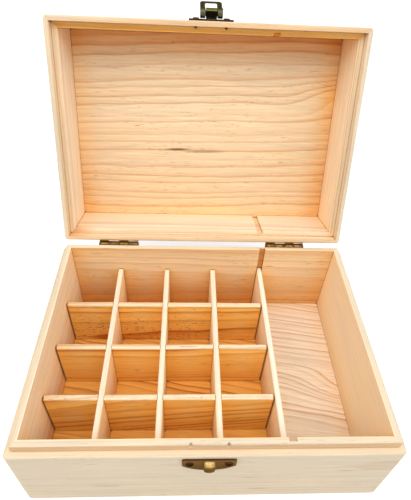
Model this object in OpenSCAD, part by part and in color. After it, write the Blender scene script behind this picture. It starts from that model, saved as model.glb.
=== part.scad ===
// Pine keepsake box with a hinged lid, an egg-crate of sixteen cells, a side tray and a hasp latch.
// Millimetres. X runs left to right, Y front to back, Z up.
// The origin is the middle of the face that the box stands on. The lid is drawn open.

/* [Box] */
// Outside width, left to right
box_w = 250; // [210:1:320]
// Outside depth, front to back
box_d = 182; // [150:1:240]
// Height of the base, from the table to the parting line
base_h = 72; // [64:1:110]
// Height of the closed lid above the parting line
lid_h = 51.5; // [40:0.5:80]
// How far the lid swings back when it is open
open_angle = 109; // [95:1:115]

/* [Boards] */
// Thickness of the eight walls
wall_t = 8.5; // [7.5:0.1:12]
// Thickness of the floor panel
floor_t = 4.2; // [3:0.1:8]
// How deep the floor panel sits into the walls
floor_rebate = 4; // [2:0.1:5]
// Thickness of the board on top of the lid
lid_board_t = 4.5; // [4:0.1:9]
// Rounding of the outside corners and edges
corner_r = 3; // [1.5:0.1:4]
// Smaller rounding where lid and base meet
parting_r = 1.5; // [0.5:0.1:2]

/* [Rim] */
// Height of the lip that stands up inside the base
lip_h = 6.5; // [4:0.1:10]
// Width of the ledge outside the lip
ledge_w = 4.2; // [3.4:0.1:5]
// Rounding along the top of the lip
lip_r = 0.8; // [0.3:0.1:1.2]
// Air between the lip and the lid
lip_gap = 0.3; // [0.25:0.05:0.6]
// Air left under the closed lid
seat_gap = 0.1; // [0.05:0.05:0.3]

/* [Dividers] */
// Number of cells from left to right
columns = 4; // [4:1:6]
// Number of cells from front to back
rows = 4; // [4:1:6]
// Thickness of every divider board
board_t = 4.2; // [3:0.1:6]
// Height of every divider board
board_h = 49; // [30:1:52]
// Rounding along the top edges of the boards
board_r = 0.8; // [0.3:0.1:1.4]
// Clear width of the tray on the right
tray_w = 62.6; // [40:0.5:80]
// Air at each end of a board that runs across
cross_end_gap = 1.5; // [0.5:0.1:3]
// Air at each end of a board that runs front to back
long_end_gap = 0.8; // [0.6:0.1:2]
// How far the loose grid has slid to the front
grid_forward = 0.5; // [0:0.1:0.5]
// Width of the grooves in the walls
groove_w = 5.2; // [4.8:0.1:8]
// Depth of the grooves in the walls
groove_depth = 2.5; // [1.5:0.1:3]
// Air at each end of the partition in its groove
partition_end_gap = 0.3; // [0.2:0.1:1]

/* [Hinges] */
// From the left side of the box to the middle of the left hinge
left_hinge_inset = 48; // [30:1:70]
// From the right side of the box to the middle of the right hinge
right_hinge_inset = 51; // [30:1:62]
// Length of a hinge
hinge_l = 34.4; // [28:0.2:44]
// From the hinge's axis to the far edge of a leaf
leaf_h = 12; // [11.5:0.5:16]
// Thickness of a leaf
leaf_t = 1.1; // [0.8:0.1:1.5]
// Outside radius of the knuckles
knuckle_r = 2.3; // [2:0.1:3]
// Number of knuckles on one hinge
knuckles = 4; // [2:2:6]
// Radius of the hinge pin
hinge_pin_r = 1; // [0.8:0.1:1.2]
// Distance between the two screws of a leaf
leaf_screw_pitch = 21; // [16:0.5:24]
// From the hinge's axis to the screws
leaf_screw_drop = 8.4; // [8.2:0.1:8.9]

/* [Latch] */
// Width of both latch plates
plate_w = 34; // [31:0.5:44]
// Height of a plate at its middle
plate_mid_h = 14.5; // [13.5:0.5:18]
// Height of a plate at its ends
plate_end_h = 7.5; // [7.2:0.1:9]
// Thickness of both plates
plate_t = 1.4; // [1:0.1:2]
// From the parting line down to the catch plate
catch_drop = 3.5; // [2:0.1:6]
// Width of the hook
hook_w = 6.9; // [5:0.1:7.4]
// Thickness of the metal in the hook
hook_t = 1.4; // [1:0.1:1.8]
// How far the hook stands out from the wall, to the middle of its metal
hook_out = 4.2; // [3.8:0.1:4.6]
// From the top of the catch plate down to the hook's bend
hook_bend_drop = 1.6; // [0.9:0.1:3]
// From the top of the catch plate down to the hook's tip
hook_tip_drop = 9.5; // [8.5:0.1:10]
// Outside width of the hasp loop
loop_w = 17; // [16:0.1:17.8]
// Width of the window in the loop
window_w = 9.4; // [9.2:0.1:10]
// From the loop's axis to the far edge of its window
window_reach = 18.8; // [18.6:0.1:19.4]
// Width of the bar across the loop's far end
end_bar_w = 1.8; // [1.6:0.1:3]
// Thickness of the loop's metal
loop_t = 1; // [0.8:0.1:1.4]
// Radius of the loop's own bar, which turns in the roll
loop_bar_r = 2.1; // [1.8:0.1:2.2]
// Metal thickness of the roll that holds the bar
roll_t = 1.45; // [1.3:0.05:1.5]
// Width of the roll
roll_w = 8.4; // [7:0.1:8.8]
// From the plate's face to the underside of the roll
roll_rise = 0.5; // [0.4:0.1:1]
// Angle of the open loop, measured from hanging straight down
loop_rest_angle = 155; // [90:1:165]

/* [Screws] */
// Shank radius of all screws
screw_r = 1.2; // [0.9:0.1:1.3]
// Head radius of all screws
screw_head_r = 2.4; // [2:0.1:2.4]
// Height of the domed head
screw_head_h = 0.9; // [0.6:0.1:1.2]
// How far a hinge screw goes into the wood
hinge_screw_l = 7; // [5:0.1:7.2]
// Distance between the two screws of the catch plate
catch_screw_pitch = 24.6; // [22:0.1:26]
// Distance between the two screws of the hasp plate
hasp_screw_pitch = 23.4; // [22.8:0.1:26]
// From the plate's straight edge to the screws of the catch plate
catch_screw_drop = 4.4; // [3.6:0.1:4.8]
// From the plate's straight edge to the screws of the hasp plate
hasp_screw_drop = 3.1; // [3:0.1:3.2]
// How far the hasp screws come out inside the lid's rim
screw_poke = 1.8; // [1:0.1:2]

/* [Hidden] */
$fn = 64;

// One length by which every cut runs past the face that it cuts
overrun = 1;
// Radial clearance of a pin that turns in its bore
pin_fit = 0.05;
// Air between a screw and its hole
screw_fit = 0.05;
// Air between neighbouring knuckles, and between the loop and its roll
side_fit = 0.2;
// Air between two divider boards where one passes through the other
halving_fit = 0.1;
// Air between a fixed knuckle and the moving leaf beside it
knuckle_fit = 0.15;
// Half of the angle left between the shoulders of two leaves when they stop the lid
stop_play = 0.15;
// Air around the point of a hasp screw when the lid is closed
point_room = 0.25;

// Rounding of the lower and upper edges, a little less than that of the upright corners
edge_share = 0.85;
edge_r = edge_share * corner_r;
rim_r = min(parting_r, edge_r);

// Heights of the closed lid
lid_z = base_h + seat_gap;
lid_wall_h = lid_h - lid_board_t;
lid_top_z = lid_z + lid_h;
recess_top_z = base_h + lip_h + lip_gap;
lip_top_z = base_h + lip_h;

// Inside of the walls
inner_w = box_w - 2 * wall_t;
inner_d = box_d - 2 * wall_t;

// Hinge axis
axis_out = leaf_t + knuckle_r + side_fit / 2;
axis_y = box_d / 2 + axis_out;
axis_z = base_h + seat_gap / 2;
left_hinge_x = left_hinge_inset - box_w / 2;
right_hinge_x = box_w / 2 - right_hinge_inset;

// Divider layout
partition_x = box_w / 2 - wall_t - tray_w - board_t / 2;
grid_left = -inner_w / 2;
grid_right = partition_x - board_t / 2;
grid_x = (grid_left + grid_right) / 2;
cross_l = grid_right - grid_left - 2 * cross_end_gap;
long_l = inner_d - 2 * long_end_gap;
column_pitch = (cross_l + board_t) / columns;
row_pitch = (long_l + board_t) / rows;
partition_l = inner_d + 2 * groove_depth - 2 * partition_end_gap;

// Latch layout: heights run up from the parting line, and out is the way from the wall
hasp_plate_z = lid_z + parting_r;
catch_plate_z = base_h - catch_drop;
roll_r = loop_bar_r + pin_fit + roll_t;
loop_out = plate_t + roll_rise + roll_r;
loop_axis_y = -box_d / 2 - loop_out;
loop_axis_z = hasp_plate_z + roll_r;
loop_corner_r = 2.6 * loop_t;

wood_outside = "BlanchedAlmond";
wood_inside = "BurlyWood";
old_brass = "DarkOliveGreen";

// Plain shapes

module rounded_plan(w, d, r) {
    square([w, d - 2 * r], center = true);
    square([w - 2 * r, d], center = true);
    for (x = [-1, 1], y = [-1, 1])
        translate([x * (w / 2 - r), y * (d / 2 - r)]) circle(r);
}

// A strip from the middle line out to reach, with its two outer corners rounded
module eased_strip(reach, h, low_r, top_r) {
    translate([0, low_r]) square([reach, h - low_r - top_r]);
    if (low_r > 0) {
        if (reach > low_r) square([reach - low_r, low_r]);
        translate([reach - low_r, low_r]) intersection() {
            circle(low_r);
            translate([0, -low_r]) square(low_r);
        }
    }
    if (top_r > 0) {
        if (reach > top_r) translate([0, h - top_r]) square([reach - top_r, top_r]);
        translate([reach - top_r, h - top_r]) intersection() {
            circle(top_r);
            square(top_r);
        }
    }
}

module both_sides() {
    children();
    mirror([1, 0]) children();
}

// A block on z = 0 with rounded upright corners and rounded lower and upper edges
module eased_block(w, d, h, r, low_r, top_r) {
    rotate([90, 0, 0]) linear_extrude(d - 2 * r, center = true)
        both_sides() eased_strip(w / 2, h, low_r, top_r);
    rotate([90, 0, 90]) linear_extrude(w - 2 * r, center = true)
        both_sides() eased_strip(d / 2, h, low_r, top_r);
    for (x = [-1, 1], y = [-1, 1])
        translate([x * (w / 2 - r), y * (d / 2 - r), 0])
            rotate_extrude() eased_strip(r, h, low_r, top_r);
}

// Extrudes a side view, drawn as outward and up, along X over a width
module across_width(w) {
    rotate([90, 0, -90]) linear_extrude(w, center = true) children();
}

// The front rail of a frame: its outer face is across / 2 in front of the middle,
// and both of its ends are rounded into the upright corners of the frame
module eased_rail(length, across, depth, h, r, low_r, top_r) {
    translate([0, depth - across / 2, 0])
        across_width(length - 2 * r) eased_strip(depth, h, low_r, top_r);
    for (s = [-1, 1])
        translate([s * (length / 2 - r), r - across / 2, 0])
            rotate_extrude() eased_strip(r, h, low_r, top_r);
}

// Everything between the two mitres of a front rail
module between_mitres(length, across) {
    far = length / 2 + overrun;
    near = length / 2 - wall_t;
    translate([0, 0, -overrun]) linear_extrude(lid_top_z + 2 * overrun)
        polygon([
            [-far, -across / 2 - overrun], [far, -across / 2 - overrun],
            [near, -across / 2 + wall_t], [-near, -across / 2 + wall_t]
        ]);
}

// Turns a front rail into one of the four sides
module to_front() { children(); }
module to_back() { rotate([0, 0, 180]) children(); }
module to_left() { rotate([0, 0, -90]) children(); }
module to_right() { rotate([0, 0, 90]) children(); }

// A bar of metal drawn in side view from one point to another, with round ends
module limb(from, to, t) {
    run = to - from;
    translate(from) rotate(atan2(run[1], run[0])) translate([0, -t / 2]) square([norm(run), t]);
    translate(from) circle(t / 2);
    translate(to) circle(t / 2);
}

// Swings the closed lid back to where the hinges stop it
module open_lid() {
    translate([0, axis_y, axis_z]) rotate([-open_angle, 0, 0]) translate([0, -axis_y, -axis_z])
        children();
}

// Screws

// A screw that goes in along -Z from its head's seat at the origin
module screw(l) {
    tip_l = 1.5 * screw_r;
    dome_r = (screw_head_r ^ 2 + screw_head_h ^ 2) / (2 * screw_head_h);
    slot_w = 0.28 * screw_head_r;
    slot_l = 1.2 * screw_head_r;
    translate([0, 0, tip_l - l]) cylinder(r = screw_r, h = l - tip_l);
    translate([0, 0, -l]) cylinder(r1 = slot_w / 2, r2 = screw_r, h = tip_l);
    difference() {
        intersection() {
            cylinder(r = screw_head_r, h = screw_head_h);
            translate([0, 0, screw_head_h - dome_r]) sphere(dome_r);
        }
        for (turn = [0, 90])
            rotate([0, 0, turn]) translate([-slot_l / 2, -slot_w / 2, screw_head_h / 2])
                cube([slot_l, slot_w, screw_head_h]);
    }
}

module screw_hole(l) {
    translate([0, 0, -l]) cylinder(r = screw_r + screw_fit, h = l + overrun);
}

// Places at the screws of the leaves, on the back: side is -1 for the base and 1 for the lid
module at_leaf_screws(side) {
    for (x = [left_hinge_x, right_hinge_x], s = [-1, 1])
        translate([x + s * leaf_screw_pitch / 2, box_d / 2 + leaf_t, axis_z + side * leaf_screw_drop])
            rotate([-90, 0, 0]) children();
}

module at_plate_screws(pitch, z) {
    for (s = [-1, 1])
        translate([s * pitch / 2, -box_d / 2 - plate_t, z]) rotate([90, 0, 0]) children();
}

module at_catch_screws() {
    at_plate_screws(catch_screw_pitch, catch_plate_z - catch_screw_drop) children();
}

module at_hasp_screws() {
    at_plate_screws(hasp_screw_pitch, hasp_plate_z + hasp_screw_drop) children();
}

hinge_screw_reach = leaf_t + hinge_screw_l;
catch_screw_reach = plate_t + hinge_screw_l;
hasp_screw_reach = plate_t + ledge_w - lip_gap + screw_poke;

// Grooves and dents

// The groove that holds one end of the partition, in the wall on the given side
module partition_groove(side, z_low, z_high) {
    y_low = side < 0 ? -inner_d / 2 - groove_depth : inner_d / 2 - overrun;
    translate([partition_x - groove_w / 2, y_low, z_low])
        cube([groove_w, groove_depth + overrun, z_high - z_low]);
}

// Wedge-shaped dents in the front of the lip, where the points of the hasp screws come down
module screw_point_dents() {
    dent_r = screw_r + point_room;
    dent_depth = screw_poke - lip_gap + point_room;
    dent_low_z = hasp_plate_z + hasp_screw_drop - dent_r;
    for (s = [-1, 1])
        translate([s * hasp_screw_pitch / 2, -box_d / 2 + ledge_w, dent_low_z])
            linear_extrude(lip_top_z - dent_low_z + overrun)
                polygon([
                    [-dent_r, -overrun], [dent_r, -overrun], [dent_r, 0],
                    [dent_r / 3, dent_depth], [-dent_r / 3, dent_depth], [-dent_r, 0]
                ]);
}

// Base

// One wall of the base, drawn at the front: a rebate for the floor below, and a lip above
module base_wall(length, across) {
    difference() {
        intersection() {
            union() {
                eased_rail(length, across, wall_t, base_h, corner_r, edge_r, rim_r);
                translate([0, 0, base_h - lip_h])
                    eased_rail(length - 2 * ledge_w, across - 2 * ledge_w, wall_t - ledge_w,
                        2 * lip_h, lip_r, 0, edge_share * lip_r);
            }
            between_mitres(length, across);
        }
        translate([-length / 2, wall_t - floor_rebate - across / 2, -overrun])
            cube([length, floor_rebate + overrun, floor_t + overrun]);
    }
}

module base_front_wall() {
    color(wood_outside) difference() {
        to_front() base_wall(box_w, box_d);
        partition_groove(-1, floor_t, lip_top_z + overrun);
        screw_point_dents();
        at_catch_screws() screw_hole(catch_screw_reach);
    }
}

module base_back_wall() {
    color(wood_outside) difference() {
        to_back() base_wall(box_w, box_d);
        partition_groove(1, floor_t, lip_top_z + overrun);
        at_leaf_screws(-1) screw_hole(hinge_screw_reach);
    }
}

module base_left_wall() {
    color(wood_outside) to_left() base_wall(box_d, box_w);
}

module base_right_wall() {
    color(wood_outside) to_right() base_wall(box_d, box_w);
}

module base_floor_panel() {
    w = inner_w + 2 * floor_rebate;
    d = inner_d + 2 * floor_rebate;
    color(wood_inside) translate([-w / 2, -d / 2, 0]) cube([w, d, floor_t]);
}

// Lid, drawn closed and then swung open

// One wall of the lid, drawn at the front: its inner half is cut back to pass over the lip
module lid_wall(length, across) {
    difference() {
        intersection() {
            translate([0, 0, lid_z])
                eased_rail(length, across, wall_t, lid_wall_h, corner_r, rim_r, 0);
            between_mitres(length, across);
        }
        translate([-length / 2, ledge_w - lip_gap - across / 2, base_h - overrun])
            cube([length, wall_t, recess_top_z - base_h + overrun]);
    }
}

module lid_front_wall() {
    color(wood_outside) open_lid() difference() {
        to_front() lid_wall(box_w, box_d);
        partition_groove(-1, base_h, lid_z + lid_wall_h + overrun);
        at_hasp_screws() screw_hole(hasp_screw_reach + overrun);
    }
}

module lid_back_wall() {
    color(wood_outside) open_lid() difference() {
        to_back() lid_wall(box_w, box_d);
        partition_groove(1, base_h, lid_z + lid_wall_h + overrun);
        at_leaf_screws(1) screw_hole(hinge_screw_reach);
    }
}

module lid_left_wall() {
    color(wood_outside) open_lid() to_left() lid_wall(box_d, box_w);
}

module lid_right_wall() {
    color(wood_outside) open_lid() to_right() lid_wall(box_d, box_w);
}

module lid_top_board() {
    color(wood_inside) open_lid() translate([0, 0, lid_z + lid_wall_h])
        eased_block(box_w, box_d, lid_board_t, corner_r, 0, edge_r);
}

// Dividers

// A board standing on z = 0 along Y, with eased top edges
module divider_board(l) {
    rotate([90, 0, 0]) linear_extrude(l, center = true)
        both_sides() eased_strip(board_t / 2, board_h, 0, board_r);
}

// A notch for a board that passes through at right angles, open below or above mid height
module halving_notch(z_low, z_high) {
    w = board_t + 2 * halving_fit;
    translate([-board_t, -w / 2, z_low]) cube([2 * board_t, w, z_high - z_low]);
}

// Long boards run front to back and are notched from below
module long_divider(index) {
    x = grid_x + (index - columns / 2) * column_pitch;
    color(wood_inside) translate([x, -grid_forward, floor_t]) difference() {
        divider_board(long_l);
        for (row = [1 : rows - 1])
            translate([0, (row - rows / 2) * row_pitch, 0]) halving_notch(-overrun, board_h / 2);
    }
}

// Cross boards run left to right and are notched from above
module cross_divider(index) {
    y = (index - rows / 2) * row_pitch - grid_forward;
    color(wood_inside) translate([grid_x, y, floor_t]) rotate([0, 0, 90]) difference() {
        divider_board(cross_l);
        for (column = [1 : columns - 1])
            translate([0, (columns / 2 - column) * column_pitch, 0])
                halving_notch(board_h / 2, board_h + overrun);
    }
}

// Any boards past the first and the last are the middle ones
module middle_long_dividers() {
    for (index = [2 : 1 : columns - 2]) long_divider(index);
}

module middle_cross_dividers() {
    for (index = [2 : 1 : rows - 2]) cross_divider(index);
}

module partition_board() {
    color(wood_inside) translate([partition_x, 0, floor_t]) divider_board(partition_l);
}

// Hinges

knuckle_l = (hinge_l - (knuckles - 1) * side_fit) / knuckles;

// Places at the knuckles of one leaf, counted from the left
module at_knuckles(first) {
    for (k = [first : 2 : knuckles - 1])
        translate([-hinge_l / 2 + k * (knuckle_l + side_fit), 0, 0]) rotate([90, 0, 90]) children();
}

// One leaf drawn below the axis, with y as the way out from the wall and the axis at the origin.
// Its shoulder meets the other leaf's shoulder when the lid is fully open.
module leaf(first) {
    stop_angle = open_angle / 2 + stop_play;
    shoulder = knuckle_r + leaf_t;
    leaf_corner_r = 2 * leaf_t;
    difference() {
        union() {
            translate([0, -axis_out, -leaf_h]) rotate([90, 0, 0]) mirror([0, 0, 1])
                linear_extrude(leaf_t) difference() {
                    translate([0, (leaf_h - side_fit) / 2])
                        rounded_plan(hinge_l, leaf_h - side_fit, leaf_corner_r);
                    for (s = [-1, 1])
                        translate([s * leaf_screw_pitch / 2, leaf_h - leaf_screw_drop])
                            circle(screw_r + screw_fit);
                }
            rotate([90, 0, 90]) linear_extrude(hinge_l, center = true)
                polygon([
                    [-axis_out, -side_fit], [0, 0],
                    [shoulder * cos(stop_angle), -shoulder * sin(stop_angle)],
                    [leaf_t - axis_out, -2 * knuckle_r],
                    [-axis_out, -2 * knuckle_r]
                ]);
            at_knuckles(first) cylinder(r = knuckle_r, h = knuckle_l);
        }
        at_knuckles(1 - first) translate([0, 0, -side_fit])
            cylinder(r = knuckle_r + knuckle_fit, h = knuckle_l + 2 * side_fit);
        rotate([0, 90, 0]) cylinder(r = hinge_pin_r + pin_fit, h = hinge_l + 2 * overrun, center = true);
    }
}

module hinge_base_leaf(x) {
    color(old_brass) translate([x, axis_y, axis_z]) leaf(1);
}

module hinge_lid_leaf(x) {
    color(old_brass) open_lid() translate([x, axis_y, axis_z]) mirror([0, 0, 1]) leaf(0);
}

// The pin is riveted over into a low dome at both ends
module hinge_pin(x) {
    head_r = 1.5 * hinge_pin_r;
    head_h = hinge_pin_r / 2;
    dome_r = (head_r ^ 2 + head_h ^ 2) / (2 * head_h);
    color(old_brass) translate([x, axis_y, axis_z]) rotate([0, 90, 0]) {
        cylinder(r = hinge_pin_r, h = hinge_l + 2 * pin_fit, center = true);
        for (s = [0, 1]) mirror([0, 0, s]) translate([0, 0, hinge_l / 2 + pin_fit])
            intersection() {
                translate([0, 0, head_h - dome_r]) sphere(dome_r);
                cylinder(r = head_r, h = head_h);
            }
    }
}

// Latch

// Outline of a plate with its straight edge on y = 0 and its bowed edge below
module plate_outline() {
    bow = plate_mid_h - plate_end_h;
    bow_r = ((plate_w / 2) ^ 2 + bow ^ 2) / (2 * bow);
    end_r = plate_t;
    intersection() {
        translate([0, -plate_mid_h / 2 - end_r]) rounded_plan(plate_w, plate_mid_h + 2 * end_r, end_r);
        translate([0, bow_r - plate_mid_h]) circle(bow_r);
        translate([-plate_w, -2 * plate_mid_h]) square([2 * plate_w, 2 * plate_mid_h]);
    }
}

module plate_body(screw_pitch, screw_drop) {
    rotate([90, 0, 0]) linear_extrude(plate_t) difference() {
        plate_outline();
        for (s = [-1, 1])
            translate([s * screw_pitch / 2, -screw_drop]) circle(screw_r + screw_fit);
    }
}

// Side view of the hook, from the top of the catch plate
module hook_side() {
    bend = [hook_out, -hook_bend_drop];
    limb([plate_t / 2, -hook_t / 2], bend, hook_t);
    limb(bend, [hook_out - hook_t / 4, hook_t / 2 - hook_tip_drop], hook_t);
}

// Front view of the hook, with its round end
module hook_front() {
    translate([-hook_w / 2, hook_w / 2 - hook_tip_drop]) square([hook_w, hook_tip_drop]);
    translate([0, hook_w / 2 - hook_tip_drop]) circle(hook_w / 2);
}

module catch_plate() {
    color(old_brass) translate([0, -box_d / 2, catch_plate_z]) {
        plate_body(catch_screw_pitch, catch_screw_drop);
        intersection() {
            across_width(hook_w) hook_side();
            rotate([90, 0, 0]) linear_extrude(hook_out + hook_t) hook_front();
        }
    }
}

module hasp_plate() {
    color(old_brass) open_lid() {
        translate([0, -box_d / 2, hasp_plate_z]) mirror([0, 0, 1])
            plate_body(hasp_screw_pitch, hasp_screw_drop);
        translate([0, -box_d / 2, loop_axis_z]) across_width(roll_w) difference() {
            union() {
                translate([loop_out, 0]) circle(roll_r);
                translate([plate_t / 2, -roll_r]) square([loop_out - plate_t / 2, roll_t]);
            }
            translate([loop_out, 0]) circle(loop_bar_r + pin_fit);
        }
    }
}

// Front view of the loop, hanging from its axis at the origin
module loop_front() {
    reach = window_reach + end_bar_w;
    window_r = loop_t;
    difference() {
        intersection() {
            translate([0, loop_corner_r - reach / 2])
                rounded_plan(loop_w, reach + 2 * loop_corner_r, loop_corner_r);
            translate([-loop_w, -reach]) square([2 * loop_w, reach]);
        }
        translate([0, loop_corner_r - window_reach / 2])
            rounded_plan(window_w, window_reach + 2 * loop_corner_r, window_r);
    }
}

// Two eyes, as round as the plate's roll between them, carry the loop on its bar
module hasp_loop() {
    eye_w = (loop_w - window_w) / 2;
    color(old_brass) open_lid() translate([0, loop_axis_y, loop_axis_z])
        rotate([-loop_rest_angle, 0, 0]) {
            rotate([90, 0, 0]) linear_extrude(loop_t, center = true) loop_front();
            rotate([0, 90, 0]) cylinder(r = loop_bar_r, h = loop_w, center = true);
            for (s = [0, 1]) mirror([s, 0, 0]) translate([window_w / 2, 0, 0]) rotate([0, 90, 0])
                cylinder(r = roll_r, h = eye_w);
        }
}

base_front_wall();
base_back_wall();
base_left_wall();
base_right_wall();
base_floor_panel();
lid_front_wall();
lid_back_wall();
lid_left_wall();
lid_right_wall();
lid_top_board();
long_divider(1);  // long_divider_left
middle_long_dividers();  // long_divider_middle
long_divider(columns - 1);  // long_divider_right
cross_divider(1);  // cross_divider_front
middle_cross_dividers();  // cross_divider_middle
cross_divider(rows - 1);  // cross_divider_back
partition_board();
hinge_base_leaf(left_hinge_x);  // left_hinge_base_leaf
hinge_lid_leaf(left_hinge_x);  // left_hinge_lid_leaf
hinge_pin(left_hinge_x);  // left_hinge_pin
hinge_base_leaf(right_hinge_x);  // right_hinge_base_leaf
hinge_lid_leaf(right_hinge_x);  // right_hinge_lid_leaf
hinge_pin(right_hinge_x);  // right_hinge_pin
color(old_brass) at_leaf_screws(-1) screw(hinge_screw_reach);  // base_hinge_screws
color(old_brass) open_lid() at_leaf_screws(1) screw(hinge_screw_reach);  // lid_hinge_screws
catch_plate();
color(old_brass) at_catch_screws() screw(catch_screw_reach);  // catch_plate_screws
hasp_plate();
color(old_brass) open_lid() at_hasp_screws() screw(hasp_screw_reach);  // hasp_plate_screws
hasp_loop();
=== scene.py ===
# %% [markdown]
# # A pine keepsake box with dividers and a hasp latch
# The measured model comes first. Its boards and fittings have their real sizes, their places and
# the bodies that they move with. This lesson gives them their wood and metal, models the small
# fittings again so that their edges can be softened, and sets up the camera and the light of a
# studio photograph.

# %% Load the measured model
import math

import bmesh
import bpy
from mathutils import Matrix, Vector


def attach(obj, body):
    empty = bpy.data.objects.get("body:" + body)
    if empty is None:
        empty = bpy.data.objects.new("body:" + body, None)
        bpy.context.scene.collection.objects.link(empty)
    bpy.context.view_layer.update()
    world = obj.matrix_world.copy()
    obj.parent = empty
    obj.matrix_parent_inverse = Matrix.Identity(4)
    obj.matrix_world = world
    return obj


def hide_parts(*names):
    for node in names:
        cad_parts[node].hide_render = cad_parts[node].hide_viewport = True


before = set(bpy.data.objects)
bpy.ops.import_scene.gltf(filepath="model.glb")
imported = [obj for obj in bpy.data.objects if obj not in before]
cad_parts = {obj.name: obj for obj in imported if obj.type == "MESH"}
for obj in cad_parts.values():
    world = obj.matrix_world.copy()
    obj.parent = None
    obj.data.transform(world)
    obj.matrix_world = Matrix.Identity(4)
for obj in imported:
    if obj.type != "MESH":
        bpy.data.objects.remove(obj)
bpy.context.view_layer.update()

# %% [markdown]
# ## Sizes that the looks share with the model
# The lid is drawn open, so everything on it was turned about the axis of the hinges. A pattern or a
# fitting that belongs to the lid has to be turned the same way. The hinges' axis, that turn, and the
# sizes that place the fittings and their screws are repeated here. Lengths are in millimetres.

# %% Shared sizes
MM = 0.001
FRONT_Y, BACK_Y, TOP_Z = -91, 91, 123.6
HINGE_X, HINGE_Y, HINGE_Z = (-77, 74), 94.5, 72.05
LEAF_T, LEAF_SCREW_X, LEAF_SCREW_Z = 1.1, 10.5, 8.4
PLATE_T, HOLE_R = 1.4, 1.3
CATCH_Z, CATCH_SCREW_X, CATCH_SCREW_DROP = 68.5, 12.3, 4.4
HASP_Z, HASP_SCREW_X, HASP_SCREW_RISE = 73.6, 11.7, 3.1

LID_AXIS = Vector((0, HINGE_Y, HINGE_Z)) * MM
LID_OPEN = math.radians(109)
open_turn = Matrix.Rotation(-LID_OPEN, 4, "X")
open_lid = Matrix.Translation(LID_AXIS) @ open_turn @ Matrix.Translation(-LID_AXIS)
close_lid = open_lid.inverted()
top_edge = open_lid @ (Vector((0, FRONT_Y, TOP_Z)) * MM)
print("the lid's top front edge, opened:", tuple(round(value, 4) for value in top_edge))

# %% [markdown]
# ## Camera
# The photograph was taken from above and in front with a wide phone lens, so the base looks wider
# than the lid. The place, turn and focal length were found by matching the corners of the boards.
# The small shift does what cropping the picture did.

# %% Add the camera
FRAME_W, FRAME_H = 411, 500
FOCAL_PX = 448.51
CENTRE_PX = (210.41, 234.70)

camera_data = bpy.data.cameras.new("camera")
camera = bpy.data.objects.new("camera", camera_data)
bpy.context.scene.collection.objects.link(camera)
camera.location = Vector((-16.81, -199.96, 357.71)) * MM
camera.rotation_euler = [math.radians(a) for a in (47.257, -2.776, -1.708)]
camera_data.sensor_fit = "VERTICAL"
camera_data.sensor_height = 24
camera_data.lens = camera_data.sensor_height * FOCAL_PX / FRAME_H
camera_data.shift_x = (FRAME_W / 2 - CENTRE_PX[0]) / FRAME_H
camera_data.shift_y = (CENTRE_PX[1] - FRAME_H / 2) / FRAME_H
camera_data.clip_start = 0.01
bpy.context.scene.camera = camera
print("lens:", round(camera_data.lens, 2), "mm")

# %% [markdown]
# ## Building materials with nodes
# A material here is a small tree of nodes. Short helpers keep the trees readable: `screen` turns a
# colour as seen on a screen into the linear colour that the renderer works with, `add` adds a node
# with its settings and links, and `calc` does arithmetic on values.

# %% Helpers for colours and nodes
def screen(red, green, blue):
    """A colour given as screen values from 0 to 255, as linear red, green, blue and alpha."""
    linear = []
    for value in (red, green, blue):
        value /= 255
        linear.append(value / 12.92 if value <= 0.04045 else ((value + 0.055) / 1.055) ** 2.4)
    return (*linear, 1)


def add(tree, kind, links=None, **settings):
    """Adds a node. A link is a value, or the socket that feeds the input of that name."""
    made = tree.nodes.new(kind)
    for name, value in settings.items():
        setattr(made, name, value)
    for key, value in (links or {}).items():
        if isinstance(value, bpy.types.NodeSocket):
            tree.links.new(value, made.inputs[key])
        else:
            made.inputs[key].default_value = value
    return made


def calc(tree, operation, *values):
    """One arithmetic step on up to three values."""
    return add(tree, "ShaderNodeMath", dict(enumerate(values)), operation=operation).outputs[0]


def ramp(tree, value, stops, mode="LINEAR"):
    """A colour ramp through the given stops, each a place and a grey value or a colour."""
    made = add(tree, "ShaderNodeValToRGB", {"Fac": value})
    made.color_ramp.interpolation = mode
    keys = made.color_ramp.elements
    for count, (place, shade) in enumerate(stops):
        key = keys[count] if count < 2 else keys.new(place)
        key.position = place
        key.color = shade if isinstance(shade, tuple) else (shade, shade, shade, 1)
    return made.outputs["Color"]


def mix_colour(tree, fac, first, second, blend="MIX"):
    """Blends two colours. On a Mix node the colours are inputs 6 and 7, and output 2."""
    made = add(tree, "ShaderNodeMix", {"Factor": fac, 6: first, 7: second},
               data_type="RGBA", blend_type=blend)
    return made.outputs[2]


def vector_calc(tree, operation, first, second):
    """One arithmetic step on two vectors."""
    return add(tree, "ShaderNodeVectorMath", {0: first, 1: second}, operation=operation).outputs[0]


def length(tree, vector):
    return add(tree, "ShaderNodeVectorMath", {0: vector}, operation="LENGTH").outputs["Value"]


def rescale(tree, value, start, end, low=0, high=1):
    """Turns the range from start to end into the range from low to high, and stops at both."""
    return add(tree, "ShaderNodeMapRange", {"Value": value, "From Min": start, "From Max": end,
                                            "To Min": low, "To Max": high}).outputs[0]


def hiding(tree, distance, samples):
    """Ambient occlusion: one in the open, and less where something stands within the distance."""
    node = add(tree, "ShaderNodeAmbientOcclusion", {"Distance": distance * MM}, samples=samples)
    return node.outputs["AO"]


def noise(tree, vector, stretch, detail=2, rough=0.5):
    """Noise with its own stretch along the grain and across it, per unit of the vector."""
    scaled = vector_calc(tree, "MULTIPLY", vector, stretch)
    made = add(tree, "ShaderNodeTexNoise",
               {"Vector": scaled, "Scale": 1, "Detail": detail, "Roughness": rough})
    return made.outputs["Fac"]


def noise_of(tree, value, scale):
    """Noise along a single value."""
    return add(tree, "ShaderNodeTexNoise", {"W": value, "Scale": scale, "Detail": 1},
               noise_dimensions="1D").outputs["Fac"]


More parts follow.
